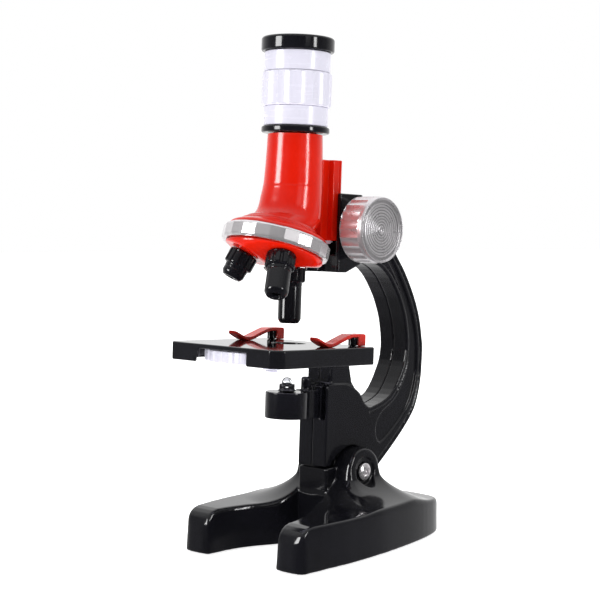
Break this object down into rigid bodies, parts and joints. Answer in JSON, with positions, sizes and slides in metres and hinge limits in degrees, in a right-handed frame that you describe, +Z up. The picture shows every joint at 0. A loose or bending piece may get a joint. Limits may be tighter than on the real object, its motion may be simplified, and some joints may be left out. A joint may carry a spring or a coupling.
{
  "type": "microscope",
  "caption": "Small toy compound microscope: horseshoe base, tilting C-shaped arm, stage with clips and lamp, geared focus, tilted turret with objectives, zoom eyepiece.",
  "frame": {"origin": "centre of the bounding box on the floor", "axes": "+X to the right, -Y to the front where the base's prongs point, +Z up"},
  "size_m": [0.074, 0.1264, 0.222],
  "materials": {
    "gloss_black": "injection-moulded gloss black",
    "matt_black": "matt black",
    "gloss_red": "gloss red",
    "clip_red": "gloss light red",
    "white": "satin-gloss cool white",
    "silver": "satin metallised plastic",
    "steel": "zinc-plated",
    "glass": "clear",
    "mirror": "polished",
    "battery_sleeve": "printed sleeve, plain"
  },
  "bodies": {
    "base": {"base_shell": "gloss_black", "base_cover": "matt_black", "battery_door": "matt_black", "door_screw": "steel", "cover_screw_1": "steel", "cover_screw_2": "steel", "cover_screw_3": "steel", "cover_screw_4": "steel", "battery_front": "battery_sleeve", "battery_rear": "battery_sleeve", "contact_bridge": "steel", "contact_plus": "steel", "contact_minus": "steel", "pivot_screw": "silver", "pivot_nut": "steel"},
    "arm": {"arm_left": "gloss_black", "arm_right": "gloss_black", "arm_screw_1": "steel", "arm_screw_2": "steel", "arm_screw_3": "steel", "arm_screw_4": "steel", "focus_housing": "gloss_black", "stage_plate": "gloss_black", "stage_screw": "steel", "clip_post_left": "gloss_black", "clip_post_right": "gloss_black", "disc_rivet": "white", "lamp_bracket": "gloss_black"},
    "carriage": {"body_tube": "gloss_red", "slide_rail": "gloss_red", "rack": "white", "tube_collar": "gloss_black", "eyepiece_tube": "white", "eyepiece_cap": "gloss_black", "eye_lens": "glass", "field_lens": "glass"},
    "zoom": {"zoom_ring": "white"},
    "turret": {"turret_ring": "silver", "turret_cone": "gloss_red", "turret_screw": "steel", "objective_long": "gloss_black", "objective_mid": "gloss_black", "objective_short": "gloss_black", "lens_long": "glass", "lens_mid": "glass", "lens_short": "glass"},
    "focus_drive": {"focus_shaft": "steel", "pinion": "white", "knob_left": "silver", "knob_right": "silver"},
    "disc": {"aperture_disc": "white"},
    "lamp": {"lamp_cup": "gloss_black", "lamp_collar": "matt_black", "bulb": "glass", "mirror": "mirror", "lamp_axle": "steel"},
    "left_clip": {"clip_left": "clip_red"},
    "right_clip": {"clip_right": "clip_red"}
  },
  "joints": [
    {"name": "arm_tilt", "type": "hinge", "parent": "base", "child": "arm", "pos_m": [0, 0.01161, 0.0317], "axis": [-1, 0, 0], "range_deg": [0, 40]},
    {"name": "focus_travel", "type": "slide", "parent": "arm", "child": "carriage", "axis": [0, 0.0562, 0.9984], "range_m": [-0.0068, 0.004]},
    {"name": "focus_knobs", "type": "hinge", "parent": "arm", "child": "focus_drive", "pos_m": [0, 0.00813, 0.13894], "axis": [1, 0, 0], "range_deg": [-70, 120]},
    {"name": "turret_turn", "type": "hinge", "parent": "carriage", "child": "turret", "pos_m": [0, -0.01685, 0.16678], "axis": [0, 0.3374, 0.9414], "continuous": true},
    {"name": "zoom_turn", "type": "hinge", "parent": "carriage", "child": "zoom", "pos_m": [0, -0.01503, 0.19913], "axis": [0, 0.0562, 0.9984], "range_deg": [-90, 90]},
    {"name": "disc_turn", "type": "hinge", "parent": "arm", "child": "disc", "pos_m": [0.002, -0.03371, 0.086], "axis": [0, 0.0562, 0.9984], "continuous": true},
    {"name": "lamp_flip", "type": "hinge", "parent": "arm", "child": "lamp", "pos_m": [0, -0.02263, 0.06394], "axis": [0, 0.9984, -0.0562], "range_deg": [0, 180]},
    {"name": "left_clip_swing", "type": "hinge", "parent": "arm", "child": "left_clip", "pos_m": [-0.0238, -0.00652, 0.09048], "axis": [0, 0.0562, 0.9984], "range_deg": [-20, 20]},
    {"name": "right_clip_swing", "type": "hinge", "parent": "arm", "child": "right_clip", "pos_m": [0.0238, -0.00652, 0.09048], "axis": [0, 0.0562, 0.9984], "range_deg": [-20, 20]}
  ],
  "couplings": [
    {"joint": "focus_knobs", "follows": "focus_travel", "rad_per_m": -277.78}
  ]
}
